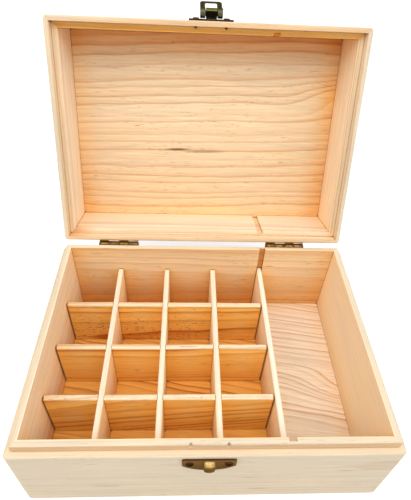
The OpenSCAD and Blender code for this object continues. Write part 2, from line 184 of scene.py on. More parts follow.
def new_material(name):
    """A new material, its tree, its shader and the place on the object, in metres."""
    material = bpy.data.materials.new(name)
    material.use_nodes = True
    tree = material.node_tree
    place = add(tree, "ShaderNodeTexCoord").outputs["Object"]
    return material, tree, tree.nodes["Principled BSDF"], place


def dress(tree, shader, source, distance):
    """Feeds a shader from the colour, roughness and height of a group node."""
    bump = add(tree, "ShaderNodeBump", {"Height": source.outputs["Height"], "Strength": 0.25,
                                        "Distance": distance * MM})
    tree.links.new(source.outputs["Color"], shader.inputs["Base Color"])
    tree.links.new(source.outputs["Roughness"], shader.inputs["Roughness"])
    tree.links.new(bump.outputs[0], shader.inputs["Normal"])


def new_group(name, inputs, outputs):
    """An empty node group with named sockets: each is a name, a kind and a first value."""
    group = bpy.data.node_groups.new(name, "ShaderNodeTree")
    for label, kind, value in inputs:
        socket = group.interface.new_socket(name=label, in_out="INPUT", socket_type="NodeSocket" + kind)
        if value is not None:
            socket.default_value = value
    for label, kind in outputs:
        group.interface.new_socket(name=label, in_out="OUTPUT", socket_type="NodeSocket" + kind)
    return group, add(group, "NodeGroupInput").outputs, add(group, "NodeGroupOutput").inputs


print("a mid grey becomes", round(screen(128, 128, 128)[0], 3))

# %% [markdown]
# ## Pine
# A pine board is a slice of a trunk. The trunk grew in rings: wide and pale in spring, narrow and
# orange-brown in late summer. If the pattern is built as rings around the trunk's middle line, every
# face of a board shows what a real one shows: long bands on a face that cuts the rings steeply,
# pointed arches where it only grazes them, and arcs on the end grain. The group below takes a place
# in millimetres, with X along the trunk, and works out how far it lies from the middle line.

# %% The pine group
WHITE = screen(255, 255, 255)
PALE_PINE = screen(248, 236, 220)
SPRING_TONES = [(0, screen(213, 197, 171)), (0.25, screen(236, 212, 177)), (0.5, screen(242, 213, 168)),
                (1, screen(255, 203, 106))]
SUMMER_TONES = [(0, screen(190, 158, 118)), (0.5, screen(222, 154, 82)), (1, screen(190, 92, 10))]
LATE_WOOD = [(0, 0), (0.36, 0.05), (0.66, 0.30), (0.87, 0.90), (0.94, 1), (1, 0)]
# Tints for stains and painted shade, for the painted shade in inside corners, then resin, dark marks and
# the dark line in creases, which is a joint line and painted shade
STAIN_AND_SHADE, CORNER_SHADE_TINT = screen(226, 193, 156), screen(255, 246, 234)
RESIN, DARK_MARK, SEAM_AND_CREASE_SHADE = screen(150, 88, 40), screen(96, 62, 30), screen(108, 56, 20)


def make_pine_group():
    group, given, result = new_group(
        "pine grain",
        [("Vector", "Vector", None), ("Ring Spacing", "Float", 5), ("Wander", "Float", 3),
         ("Contrast", "Float", 0.6), ("Warmth", "Float", 0.5), ("Flecks", "Float", 0.3),
         ("Knot", "Vector", None), ("Knot Size", "Float", 0), ("Stain And Shade", "Float", 0),
         ("Mark", "Float", 0), ("Corner Shade", "Float", 1), ("Pale", "Float", 0), ("Pits", "Float", 0)],
        [("Color", "Color"), ("Roughness", "Float"), ("Height", "Float")])
    place = given["Vector"]

    # How far the trunk's rings wander, and how far this place lies from its middle line
    slow = calc(group, "SUBTRACT", noise(group, place, (0.006, 0.014, 0.014), 1), 0.5)
    quick = calc(group, "SUBTRACT", noise(group, place, (0.025, 0.10, 0.10), 2), 0.5)
    wander = calc(group, "MULTIPLY", calc(group, "MULTIPLY_ADD", quick, 0.35, slow), given["Wander"])
    parts = add(group, "ShaderNodeSeparateXYZ", {0: place}).outputs
    square = calc(group, "MULTIPLY", parts["Y"], parts["Y"])
    square = calc(group, "MULTIPLY_ADD", parts["Z"], parts["Z"], square)
    radius = calc(group, "ADD", calc(group, "SQRT", square), wander)

    # The rings swell round a knot, and stand closer together beside it
    from_knot = vector_calc(group, "SUBTRACT", place, given["Knot"])
    reach = length(group, vector_calc(group, "MULTIPLY", from_knot, (0.5, 1, 0)))
    reach = calc(group, "DIVIDE", reach, calc(group, "ADD", given["Knot Size"], 0.01))
    swell = calc(group, "EXPONENT", calc(group, "MULTIPLY", calc(group, "MULTIPLY", reach, reach), -1))
    radius = calc(group, "MULTIPLY_ADD", swell, given["Knot Size"], radius)

    # Count the rings. Good and poor years make them wide and narrow
    count = calc(group, "DIVIDE", radius, given["Ring Spacing"])
    years = calc(group, "SUBTRACT", noise_of(group, count, 0.45), 0.5)
    count = calc(group, "MULTIPLY_ADD", years, 1.7, count)
    late = ramp(group, calc(group, "FRACT", count), LATE_WOOD)
    strength = ramp(group, noise_of(group, calc(group, "FLOOR", count), 0.83), [(0.35, 0.35), (0.65, 1)])
    late = calc(group, "MULTIPLY", late, strength)

    # Fibres, broad streaks, the slow change of tone along a board, resin canals and round pits
    fibres = noise(group, place, (0.03, 2.2, 2.2), 3, 0.6)
    streaks = noise(group, place, (0.018, 0.75, 0.75), 2, 0.6)
    tone = noise(group, place, (0.012, 0.040, 0.040), 2)
    pores = ramp(group, noise(group, place, (0.09, 2.2, 2.2), 1), [(0.67, 0), (0.73, 1)])
    patches = ramp(group, noise(group, place, (0.02, 0.09, 0.09), 1), [(0.44, 0), (0.58, 1)])
    flecks = calc(group, "MULTIPLY", calc(group, "MULTIPLY", pores, patches), given["Flecks"])
    pits = ramp(group, noise(group, place, (0.34, 0.72, 0.72), 1), [(0.62, 0), (0.68, 1)])
    flecks = calc(group, "MAXIMUM", flecks, calc(group, "MULTIPLY", pits, given["Pits"]))

    # Painted shade: inside corners get darker and warmer, and every inside crease gets a dark line,
    # which is the dark joint where two boards meet and painted shade in the other creases
    corner = rescale(group, hiding(group, 20, 4), 1, 0.45, high=given["Corner Shade"])
    seam_and_crease_shade = rescale(group, hiding(group, 2, 4), 0.74, 0.40, high=given["Corner Shade"])

    # Colours: warmth takes the pine from pale through honey to amber. The extra warmth inside the box
    # and in its corners is painted bounce light, where light bounces from board to board. Stains and
    # painted shade add warmth too, and so do a knot and the slow change of tone, the wood's own.
    warm = calc(group, "MULTIPLY_ADD", corner, 0.5, given["Warmth"])
    warm = calc(group, "MULTIPLY_ADD", swell, 0.7, warm)
    warm = calc(group, "MULTIPLY_ADD", given["Stain And Shade"], 0.5, warm)
    warm = calc(group, "MULTIPLY_ADD", calc(group, "SUBTRACT", tone, 0.5), 0.7, warm)
    half = calc(group, "MULTIPLY", warm, 0.5)
    # The pale mix lightens the spring wood as painted light
    spring = mix_colour(group, given["Pale"], ramp(group, half, SPRING_TONES), PALE_PINE)
    summer = ramp(group, half, SUMMER_TONES)
    colour = mix_colour(group, calc(group, "MULTIPLY", late, given["Contrast"]), spring, summer)
    streaks = calc(group, "MULTIPLY", calc(group, "SUBTRACT", streaks, 0.5), given["Contrast"])
    light = calc(group, "MULTIPLY_ADD", calc(group, "SUBTRACT", fibres, 0.5), 0.34, 1)
    light = calc(group, "MULTIPLY_ADD", streaks, 0.55, light)
    colour = mix_colour(group, 1, colour, light, "MULTIPLY")
    # Stains and painted shade darken the colour
    aged = mix_colour(group, given["Stain And Shade"], WHITE, STAIN_AND_SHADE)
    colour = mix_colour(group, 1, colour, aged, "MULTIPLY")
    colour = mix_colour(group, flecks, colour, RESIN)
    ragged = calc(group, "MULTIPLY_ADD", calc(group, "SUBTRACT", fibres, 0.5), 2, 1)
    marked = add(group, "ShaderNodeClamp", {0: calc(group, "MULTIPLY", given["Mark"], ragged)}).outputs[0]
    colour = mix_colour(group, marked, colour, DARK_MARK)
    # Painted shade in the inside corners, then the dark line in every inside crease
    corner_shade = mix_colour(group, corner, WHITE, CORNER_SHADE_TINT)
    colour = mix_colour(group, 1, colour, corner_shade, "MULTIPLY")
    # The dark line of the creases: a joint line, and painted shade in the crease
    colour = mix_colour(group, calc(group, "MULTIPLY", seam_and_crease_shade, 0.85), colour, SEAM_AND_CREASE_SHADE)
    group.links.new(colour, result["Color"])

    # Late wood is denser, so it shines a little more and stands a little proud after sanding
    group.links.new(rescale(group, late, 0, 1, 0.62, 0.52), result["Roughness"])
    height = calc(group, "MULTIPLY_ADD", late, 0.35, calc(group, "MULTIPLY", fibres, 0.5))
    group.links.new(calc(group, "SUBTRACT", height, flecks), result["Height"])
    return group


pine_grain = make_pine_group()
print("nodes in the pine group:", len(pine_grain.nodes))

# %% [markdown]
# ## One material for each board
# Two boards never have the same grain, so each gets its own slice of trunk. A Mapping node turns
# the board so that its length lies along the trunk, and moves it to its own place: `below` is how
# far the trunk's middle line lies behind the face, `aside` is how far it lies from the board's
# middle, and `tilt` is how much the board runs across the trunk, which makes the pointed arches.
# On the walls the warm tone of the inside, which is painted bounce light, fades to the pale outside
# through their thickness.

# %% The board material
AXES = {"X": Vector((1, 0, 0)), "Y": Vector((0, 1, 0)), "Z": Vector((0, 0, 1))}


def board_turn(grain, face, tilt, swing):
    """Turns the grain's direction to X and the board's face to Z, then tilts and swings it."""
    along, out = AXES[grain], AXES[face]
    turn = Matrix((along, out.cross(along), out))
    tilted = Matrix.Rotation(math.radians(tilt), 3, "Y") @ Matrix.Rotation(math.radians(swing), 3, "Z")
    return tilted @ turn


def pine(node, grain, face, below, aside, warmth, fade, tilt=0, swing=0, along=0, spacing=5, wander=4,
         contrast=0.6, flecks=0.3, knot=(0, 0, 0), stains_and_shade=(), marks=(), corner_shade=1, pale=0, pits=(),
         on_lid=False):
    """Gives a board its own slice of pine. Lengths are in millimetres, turns in degrees.

    warmth is the tone at the two ends of fade, which is an axis and the two places on it.
    The warmer tone towards the inside of the box is painted bounce light.
    pale lightens the spring wood at the end of fade, as painted light.
    knot is how far a knot lies from the board's middle, along and across it, and its size.
    Each stain, and each patch of painted shade, is an amount and the fades that limit it, and so are
    pits, which are small dark dots.
    A mark is a place, its reach along and across the grain and into the wood, and how dark it is.
    """
    material, tree, shader, place = new_material("pine of the " + node.replace("_", " "))
    closed = close_lid if on_lid else Matrix.Identity(4)
    corners = [closed @ vertex.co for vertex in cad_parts[node].data.vertices]
    centre = Vector([(min(c[i] for c in corners) + max(c[i] for c in corners)) / 2 for i in range(3)])
    turn = board_turn(grain, face, tilt, swing)
    middle = Vector((along, aside, below))

    # Move the board's middle to its place in the trunk
    whole = turn @ closed.to_3x3()
    offset = (turn @ closed.translation - turn @ centre) / MM + middle
    in_trunk = add(tree, "ShaderNodeMapping",
                   {"Vector": place, "Location": offset, "Rotation": whole.to_euler("XYZ"),
                    "Scale": (1 / MM, 1 / MM, 1 / MM)}).outputs[0]

    def fading(axis, start, end):
        """Runs from 0 to 1 between two places on an axis of the closed box."""
        moved = AXES[axis].dot(closed.translation)
        depth = add(tree, "ShaderNodeVectorMath",
                    {0: place, 1: closed.to_3x3().transposed() @ AXES[axis]}, operation="DOT_PRODUCT")
        return rescale(tree, depth.outputs["Value"], start * MM - moved, end * MM - moved)

    def total(values):
        """Adds up values and sockets."""
        sum_so_far = 0
        for value in values:
            sum_so_far = calc(tree, "ADD", sum_so_far, value)
        return sum_so_far

    def limited(areas):
        """Fades each amount within its limits, and adds them up."""
        amounts = []
        for amount, limits in areas:
            for limit in limits:
                amount = calc(tree, "MULTIPLY", amount, fading(*limit))
            amounts.append(amount)
        return total(amounts)

    def mark(spot, reach, darkness):
        """An egg-shaped spot with a soft edge."""
        spot = turn @ (Vector(spot) - centre / MM) + middle
        away = vector_calc(tree, "DIVIDE", vector_calc(tree, "SUBTRACT", in_trunk, spot), reach)
        return rescale(tree, length(tree, away), 1, 0.3, high=darkness)

    inside = fading(*fade)
    grained = add(tree, "ShaderNodeGroup", {
        "Vector": in_trunk, "Ring Spacing": spacing, "Wander": wander, "Contrast": contrast,
        "Warmth": calc(tree, "MULTIPLY_ADD", inside, warmth[1] - warmth[0], warmth[0]),
        "Pale": calc(tree, "MULTIPLY", inside, pale), "Corner Shade": corner_shade, "Flecks": flecks,
        "Knot": (along + knot[0], aside + knot[1], 0), "Knot Size": knot[2],
        "Stain And Shade": limited(stains_and_shade), "Pits": limited(pits), "Mark": total(mark(*m) for m in marks),
        }, node_tree=pine_grain)
    dress(tree, shader, grained, 0.06)
    shader.inputs["Specular IOR Level"].default_value = 0.3
    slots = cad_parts[node].data.materials
    slots.clear()
    slots.append(material)


print("the grain can run along:", ", ".join(AXES))

# %% [markdown]
# ## The boards of the base and the lid
# Walls run their grain along their length, as they must, or they would warp and break. The floor
# and the lid's panel run it from left to right. Only the numbers differ from board to board. The
# fades have names, because many boards change their tone at the same faces of the box.

# %% Choose a slice of trunk for every board
IN_FRONT_WALL, IN_BACK_WALL = ("Y", -83.4, -82.6), ("Y", 83.4, 82.6)
IN_LEFT_WALL, IN_RIGHT_WALL = ("X", -117.4, -116.6), ("X", 117.4, 116.6)
UNDER_LIP_TOP, LID_RIM, LID_CEILING = ("Z", 78.5, 78.2), ("Z", 72.8, 72.3), ("Z", 119.8, 119.4)
LIP_FRONT = [("Y", -86.3, -86.7), ("Y", -87.2, -86.8), ("Z", 78.5, 78.3)]
LEDGE = [("Z", 71.5, 72.0), ("Z", 73.5, 73.0)]
BACK_GROOVE = [("X", 48.6, 49.2), ("X", 55.0, 54.4), ("Y", 83.0, 83.8), ("Y", 88, 87), UNDER_LIP_TOP]
TRAY_FROM_CELLS, DIVIDER_TOP = ("X", 49.8, 53.8), ("Z", 51.5, 53.0)

# The lip's face is darker, for its rougher sawn face and for painted shade, and the ledge a little darker
pine("base_front_wall", "X", "Y", 46, 16, (0.0, 1.2), IN_FRONT_WALL, tilt=0.5, spacing=4.2, wander=5,
     contrast=0.45, flecks=0.6, corner_shade=0.2, stains_and_shade=[(0.5, LIP_FRONT), (0.15, LEDGE)],
     marks=[((-68, -91, 24), (14, 0.7, 3), 0.55), ((28, -91, 36), (10, 0.6, 3), 0.5),
            ((37, -91, 15), (12, 0.7, 3), 0.6), ((92, -91, 46), (9, 0.6, 3), 0.6)])
# Inside, the back wall is darker and warmer near its top and, as painted shade and bounce light, towards
# the bottom. The groove for the partition is painted dark as shade
pine("base_back_wall", "X", "Y", 34, -6, (0.1, 0.9), IN_BACK_WALL, tilt=-0.8, spacing=6.5, wander=6,
     flecks=1, stains_and_shade=[(0.5, [("Z", 66, 80), IN_BACK_WALL]), (0.6, [("Z", 58, 20), IN_BACK_WALL]),
                       (1.6, BACK_GROOVE)])
pine("base_left_wall", "Y", "X", 22, 30, (0.0, 0.65), IN_LEFT_WALL, tilt=0.6, spacing=4.6,
     contrast=0.5, pale=0.15)
pine("base_right_wall", "Y", "X", 70, 60, (0.0, 0.55), IN_RIGHT_WALL, tilt=0.3, wander=3,
     contrast=0.14, flecks=0.1)
pine("base_floor_panel", "X", "Z", 30, 40, (1.8, 0.35), TRAY_FROM_CELLS, tilt=-1.5, swing=9,
     spacing=4.6, wander=8, contrast=0.9, knot=(122, 8, 16), pale=0.7)
# The rims of the lid are painted darker as shade, most on the front wall, and so is the front wall's
# inner face, which faces down
pine("lid_front_wall", "X", "Y", 26, 34, (0.1, 1.6), ("Y", -87.0, -86.5), tilt=0.9, spacing=5.5,
     contrast=0.8, on_lid=True,
     stains_and_shade=[(0.3, [LID_RIM, ("X", -115, -60)]), (0.3, [LID_RIM]), (0.3, [("Y", -87, -82)])],
     marks=[((74, -86.8, 76.4), (3.2, 3, 1.4), 0.9)])
pine("lid_back_wall", "X", "Y", 60, 20, (0.2, 0.3), ("Y", 90, 83), tilt=0.5, contrast=0.7,
     flecks=0.5, pale=0.3, on_lid=True,
     stains_and_shade=[(0.25, [LID_RIM]), (0.9, [("X", -98, -117), ("Z", 88, 78), ("Y", 90, 84)])])
pine("lid_left_wall", "Y", "X", 80, 40, (0.0, 0.3), IN_LEFT_WALL, tilt=0.5, spacing=4.5, wander=3,
     contrast=0.45, pale=0.4, on_lid=True, stains_and_shade=[(0.1, [LID_RIM])])
pine("lid_right_wall", "Y", "X", 60, 50, (0.0, 0.6), IN_RIGHT_WALL, tilt=0.4, spacing=4.5, wander=3,
     contrast=0.55, pale=0.2, on_lid=True, stains_and_shade=[(0.15, [LID_RIM])])
# Inside, the panel is painted darker and warmer along the front wall as that wall's shadow, and along the
# side walls as shade. It also darkens a little towards the back
pine("lid_top_board", "X", "Z", 45, 125, (0.56, 0.0), ("Z", 119.4, 123.2), tilt=-1.5, swing=1.0,
     spacing=7.5, wander=9, contrast=0.8, flecks=0.9, knot=(126, -32, 15), on_lid=True,
     stains_and_shade=[(0.8, [("Y", -62, -84), LID_CEILING]), (0.4, [("X", 92, 119), LID_CEILING]),
             (0.3, [("X", -98, -119), ("Y", 0, 60), LID_CEILING]), (0.28, [("Y", -40, 60), LID_CEILING])],
     marks=[((-26, 17.5, 119.1), (15, 1.5, 3), 0.9), ((0, 19.0, 119.1), (24, 1.7, 3), 0.5)])

# %% [markdown]
# ## The dividers
# The dividers came out of a few planks, so they share their kind of grain. `along` takes each one
# from its own place in the trunk. The broad faces of the cross boards are painted deep amber for the
# light that bounces between them, and every top edge is painted pale where the light falls on it.
# Only the back cross board has a mark and pits.

# %% Choose a slice of trunk for every divider
for count, node in enumerate(("long_divider_left", "long_divider_middle", "long_divider_right")):
    pine(node, "Y", "X", 55 + 21 * count, 40 - 30 * count, (0.9, 0.3), DIVIDER_TOP, tilt=0.4,
         along=400 * count, spacing=3.6, wander=3, contrast=0.3, flecks=0.15, pale=0.3)

BACK_BOARD_DETAIL = {"marks": [((-70, 41, 44), (12, 0.7, 3), 0.8)],
                     "pits": [(0.8, [("X", 14, -8), ("Z", 46, 24)])]}
for count, (node, tilt, swing, detail) in enumerate((
        ("cross_divider_front", 1.0, 9, {}), ("cross_divider_middle", 0.4, 1, {}),
        ("cross_divider_back", 1.0, 0, BACK_BOARD_DETAIL))):
    pine(node, "X", "Y", 26 + 12 * count, 18 - 20 * count, (1.9, 0.4), DIVIDER_TOP, tilt=tilt,
         swing=swing, along=530 * count, wander=5, contrast=0.95, flecks=1, **detail)
pine("partition_board", "Y", "X", 65, -35, (0.6, 0.2), DIVIDER_TOP, tilt=0.3, spacing=3.6, wander=3,
     contrast=0.3, flecks=0.2, pale=0.5)
print("boards with their own grain:", sum(m.name.startswith("pine of") for m in bpy.data.materials))

# %% [markdown]
# ## Antique brass
# The fittings are stamped steel sheet, plated with brass and then stained dark. The stain stays in
# the hollows, where two pieces meet, and wears off where fingers and the loop rub, so edges shine
# yellow. The Bevel node finds the edges, and ambient occlusion finds the hollows. Each finish below
# is a dark colour, the bright one under it, and how much is worn. Most are stages of that wear. The
# pale end of the hinge sheet is a painted reflection, the black roll of the hasp is painted shade and
# its olive top a painted highlight, and the hook's bright spot is wear with a painted highlight.

# %% The aged brass group
def make_brass_group():
    group, given, result = new_group(
        "aged brass",
        [("Vector", "Vector", None), ("Wear", "Float", 0.5), ("Dark", "Color", screen(66, 58, 44)),
         ("Bright", "Color", screen(176, 146, 84))],
        [("Color", "Color"), ("Roughness", "Float"), ("Height", "Float")])
    place = given["Vector"]
    stain = noise(group, place, (350, 350, 350), 3, 0.6)
    scuffs = noise(group, place, (1600, 1600, 1600), 3, 0.7)
    soft = add(group, "ShaderNodeBevel", {"Radius": 0.4 * MM}, samples=6).outputs[0]
    sharp = add(group, "ShaderNodeNewGeometry").outputs["Normal"]
    facing = add(group, "ShaderNodeVectorMath", {0: soft, 1: sharp}, operation="DOT_PRODUCT")
    edge = rescale(group, facing.outputs["Value"], 0.995, 0.88)
    hollow = rescale(group, hiding(group, 1.2, 6), 0.85, 0.45)
    patchy = ramp(group, stain, [(0.40, 0), (0.62, 1)])
    worn = calc(group, "MULTIPLY_ADD", calc(group, "MULTIPLY_ADD", patchy, scuffs, 0.12), 0.5, edge)
    worn = calc(group, "MINIMUM", calc(group, "MULTIPLY", worn, given["Wear"]), 1)
    colour = mix_colour(group, worn, given["Dark"], given["Bright"])
    colour = mix_colour(group, calc(group, "MULTIPLY", hollow, 0.85), colour, screen(20, 13, 6))
    group.links.new(colour, result["Color"])
    group.links.new(rescale(group, worn, 0, 1, 0.50, 0.32), result["Roughness"])
    group.links.new(scuffs, result["Height"])
    return group


brass_group = make_brass_group()


def brass(name, dark, bright, wear, wear_and_highlight=None):
    """The optional spot is made brighter, by wear and by a painted highlight: its middle and its reach in
    millimetres, and how much.
    """
    material, tree, shader, place = new_material(name)
    if wear_and_highlight:
        spot, reach, brightening = wear_and_highlight
        away = vector_calc(tree, "SUBTRACT", place, Vector(spot) * MM)
        away = vector_calc(tree, "DIVIDE", away, Vector(reach) * MM)
        wear = rescale(tree, length(tree, away), 1, 0.7, wear, wear + brightening)
    looks = {"Vector": place, "Dark": screen(*dark), "Bright": screen(*bright), "Wear": wear}
    aged = add(tree, "ShaderNodeGroup", looks, node_tree=brass_group)
    dress(tree, shader, aged, 0.03)
    shader.inputs["Metallic"].default_value = 1
    shader.inputs["Specular Tint"].default_value = screen(150, 124, 84)
    return material


# The hook's bright spot is wear and a painted highlight, where light falls on its top bend
HOOK_WEAR_AND_HIGHLIGHT = ((0, -93.9, 67.2), (3.3, 2.7, 2.2), 1.6)
old_brass = brass("antique brass", (112, 92, 62), (176, 146, 92), 0.5)
dark_brass = brass("dark brass", (52, 38, 24), (130, 104, 62), 0.4)
hinge_brass = brass("brass of the hinges", (96, 66, 30), (222, 178, 100), 0.8)
# A pale painted reflection for the end of the lid leaf's sheet
sheet_end_reflection = brass("painted reflection on the end of the hinge sheet", (222, 204, 182), (246, 230, 210), 0.8)
catch_brass = brass("brass of the catch", (112, 94, 64), (206, 168, 98), 0.3, HOOK_WEAR_AND_HIGHLIGHT)
brown_brass = brass("brown shade of the catch", (92, 56, 26), (120, 84, 46), 0.2)
# The hasp's roll and tongue are painted near black as shade, and the roll's top gets a painted olive
# highlight
roll_painted_shade = brass("painted shade on the roll of the hasp", (14, 11, 8), (60, 50, 32), 0.2)
roll_painted_highlight = brass("painted highlight on top of the roll", (96, 96, 48), (130, 126, 70), 0.5)
loop_brass = brass("grey brass of the loop", (82, 80, 60), (120, 114, 80), 0.5)
print("materials so far:", len(bpy.data.materials))

# %% [markdown]
# ## How the fittings are modelled
# The measured fittings have sharp edges, and real stamped sheet has soft ones that catch the light.
# So each fitting is modelled again, at the same sizes. It starts as a box or a rod in millimetres,
# which keeps the numbers readable, and at the end it is shrunk to metres and put in its place. A few
# helpers do the steps that every fitting needs: add a box or a rod, select faces or edges by where
# they lie, cut or join solids, and soften the edges. Blender holds a bevel back so that it doesn't
# overlap itself, and the shortest edge of a piece decides how far. The pins get the full width, and
# the catch plate gets half of it. All other fittings keep nearly sharp edges.

# %% Helpers for modelling
SHARP = math.radians(35)


def fresh(*pieces):
    """Leaves edit mode and selects only the given pieces. The first one becomes active."""
    if bpy.context.object and bpy.context.object.mode != "OBJECT":
        bpy.ops.object.mode_set(mode="OBJECT")
    bpy.ops.object.select_all(action="DESELECT")
    for piece in reversed(pieces):
        piece.select_set(True)
        bpy.context.view_layer.objects.active = piece


def settle():
    """Puts the new object's place, turn and size into its mesh."""
    bpy.ops.object.transform_apply(location=True, rotation=True, scale=True)
    return bpy.context.object


def block(low, high):
    """A box between two corners."""
    low, high = Vector(low), Vector(high)
    fresh()
    bpy.ops.mesh.primitive_cube_add(size=1, location=(low + high) / 2, scale=high - low)
    return settle()


def rod(start, end, radius, sides=48):
    """A round bar between two points."""
    start, end = Vector(start), Vector(end)
    fresh()
    bpy.ops.mesh.primitive_cylinder_add(
        vertices=sides, radius=radius, depth=(end - start).length, location=(start + end) / 2,
        rotation=(end - start).to_track_quat("Z", "Y").to_euler())
    return settle()


def pick(piece, kind, test):
    """Goes into edit mode and selects the edges or faces of a piece that pass a test."""
    fresh(piece)
    bpy.ops.object.mode_set(mode="EDIT")
    bpy.context.tool_settings.mesh_select_mode = (False, kind == "edges", kind == "faces")
    bpy.ops.mesh.select_all(action="DESELECT")
    mesh = bmesh.from_edit_mesh(piece.data)
    for part in getattr(mesh, kind):
        part.select_set(all(test(vertex.co) for vertex in part.verts))
    bmesh.update_edit_mesh(piece.data)


def everywhere(at):
    return True


def round_corners(piece, width, steps, test):
    """Bevels the edges of a piece whose two ends, as a pair, pass a test."""
    pick(piece, "edges", lambda at: False)
    mesh = bmesh.from_edit_mesh(piece.data)
    for edge in mesh.edges:
        edge.select_set(test(*(vertex.co for vertex in edge.verts)))
    bmesh.update_edit_mesh(piece.data)
    bpy.ops.mesh.bevel(offset=width, segments=steps)
    bpy.ops.object.mode_set(mode="OBJECT")


def solid(piece, others, operation):
    """Cuts other solids from a piece, or joins them to it, and removes them."""
    for other in others:
        fresh(piece)
        step = piece.modifiers.new("step", "BOOLEAN")
        step.object, step.operation, step.solver = other, operation, "EXACT"
        bpy.ops.object.modifier_apply(modifier="step")
        bpy.data.objects.remove(other)
    return piece


def soften(piece, width, steps):
    """Rounds the sharp edges of a piece, as far as its shortest edge leaves room for it."""
    fresh(piece)
    bevel = piece.modifiers.new("soft edges", "BEVEL")
    bevel.width, bevel.segments, bevel.limit_method = width, steps, "ANGLE"
    bevel.angle_limit = SHARP
    bevel.use_clamp_overlap = True
    bpy.ops.object.modifier_apply(modifier="soft edges")
    bpy.ops.object.shade_smooth_by_angle(angle=SHARP)
    return piece


def fit(piece, name, material, body, node, where=Matrix.Identity(4)):
    """Shrinks a finished piece to metres, puts it in its place and hands it to its body."""
    fresh(piece)
    piece.name = name
    piece.data.transform(where @ Matrix.Scale(MM, 4))
    bpy.ops.object.mode_set(mode="EDIT")
    bpy.ops.mesh.select_all(action="SELECT")
    bpy.ops.mesh.remove_doubles(threshold=0.002 * MM)
    bpy.ops.mesh.normals_make_consistent(inside=False)
    bpy.ops.object.mode_set(mode="OBJECT")
    piece.data.materials.clear()
    piece.data.materials.append(material)
    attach(piece, body)
    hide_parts(node)
    print(name, len(piece.data.polygons), "faces")
    return piece


def paint(piece, material, test):
    """Gives the faces that pass a test, by their middle in millimetres and normal, another finish."""
    piece.data.materials.append(material)
    for face in piece.data.polygons:
        if test(face.center / MM, face.normal):
            face.material_index = len(piece.data.materials) - 1


def copy_of(piece):
    """A second object with its own mesh, for a fitting that occurs more than once."""
    copy = piece.copy()
    copy.data = piece.data.copy()
    bpy.context.scene.collection.objects.link(copy)
    return copy


def shift(x, y, z):
    return Matrix.Translation(Vector((x, y, z)) * MM)


print("a unit in the modelling cells is", MM, "m")

# %% [markdown]
# ## Screws
# A small pan-head screw has a low dome with a cross recess, a shank in the wood and a pointed end.
# The two points of the hasp's screws come out inside the lid, as they do in the photograph. One
# screw is modelled, going in along -Z, and every other screw is a copy of it with its own length.
# CROSS_L and CROSS_W are half the length and half the width of a groove of the recess.

# %% Model the screws
SCREW_R, HEAD_R, HEAD_H, HEAD_ROUND, TIP_L = 1.2, 2.4, 0.9, 0.75, 1.8
CROSS_L, CROSS_W, CROSS_FLOOR, ABOVE_HEAD = 1.45, 0.32, 0.35, 2


def screw(reach):
    """A screw whose point lies this far below its head."""
    head = rod((0, 0, 0), (0, 0, HEAD_H), HEAD_R)
    pick(head, "edges", lambda at: at.z > HEAD_H / 2)
    bpy.ops.mesh.bevel(offset=HEAD_ROUND, segments=4)
    bpy.ops.object.mode_set(mode="OBJECT")
    recess = [block((-x, -y, CROSS_FLOOR), (x, y, ABOVE_HEAD))
              for x, y in ((CROSS_L, CROSS_W), (CROSS_W, CROSS_L))]
    solid(head, recess, "DIFFERENCE")
    shank = rod((0, 0, TIP_L - reach), (0, 0, HEAD_H / 3), SCREW_R, 24)
    pick(shank, "faces", lambda at: at.z < 0)
    bpy.ops.mesh.extrude_region_move(TRANSFORM_OT_translate={"value": (0, 0, -TIP_L)})
    bpy.ops.transform.resize(value=(0.2, 0.2, 1))
    bpy.ops.object.mode_set(mode="OBJECT")
    solid(head, [shank], "UNION")
    return soften(head, 0.06, 1)


def set_screws(name, node, body, reach, places, turn, where=Matrix.Identity(4)):
    """Puts one copy of a screw at every place and joins them, because they are one node."""
    first = screw(reach)
    copies = []
    for place in places:
        copies.append(copy_of(first))
        copies[-1].data.transform(Matrix.Translation(place) @ turn)
    bpy.data.objects.remove(first)
    fresh(*copies)
    bpy.ops.object.join()
    fit(bpy.context.object, name, dark_brass, body, node, where)


IN_FROM_FRONT = Matrix.Rotation(math.radians(90), 4, "X")
IN_FROM_BACK = Matrix.Rotation(math.radians(-90), 4, "X")
ON_PLATE, ON_LEAF = FRONT_Y - PLATE_T, BACK_Y + LEAF_T


def screw_row(middles, beside, y, z):
    """A pair of places at each middle, one on either side of it."""
    return [Vector((x + side * beside, y, z)) for x in middles for side in (-1, 1)]


set_screws("screws_of_catch_plate", "catch_plate_screws", "base", 8.4,
           screw_row([0], CATCH_SCREW_X, ON_PLATE, CATCH_Z - CATCH_SCREW_DROP), IN_FROM_FRONT)
set_screws("screws_of_hasp_plate", "hasp_plate_screws", "lid", 7.1,
           screw_row([0], HASP_SCREW_X, ON_PLATE, HASP_Z + HASP_SCREW_RISE), IN_FROM_FRONT, open_lid)
set_screws("screws_of_base_leaves", "base_hinge_screws", "base", 8.1,
           screw_row(HINGE_X, LEAF_SCREW_X, ON_LEAF, HINGE_Z - LEAF_SCREW_Z), IN_FROM_BACK)
set_screws("screws_of_lid_leaves", "lid_hinge_screws", "lid", 8.1,
           screw_row(HINGE_X, LEAF_SCREW_X, ON_LEAF, HINGE_Z + LEAF_SCREW_Z), IN_FROM_BACK, open_lid)

# %% [markdown]
# ## Hinges
# A box hinge is two leaves of sheet that curl round one pin. Knuckles 2 and 4 belong to the base's
# leaf, 1 and 3 to the lid's leaf. One leaf is modelled below the axis. The lid's leaf is the same
# leaf turned over, which also moves its knuckles to the other places. The sheet of a leaf stands
# behind all four knuckles, as in the measured model. Its faces are divided beside its own knuckles,
# so that a pale painted reflection can be put there on the lid's leaves.

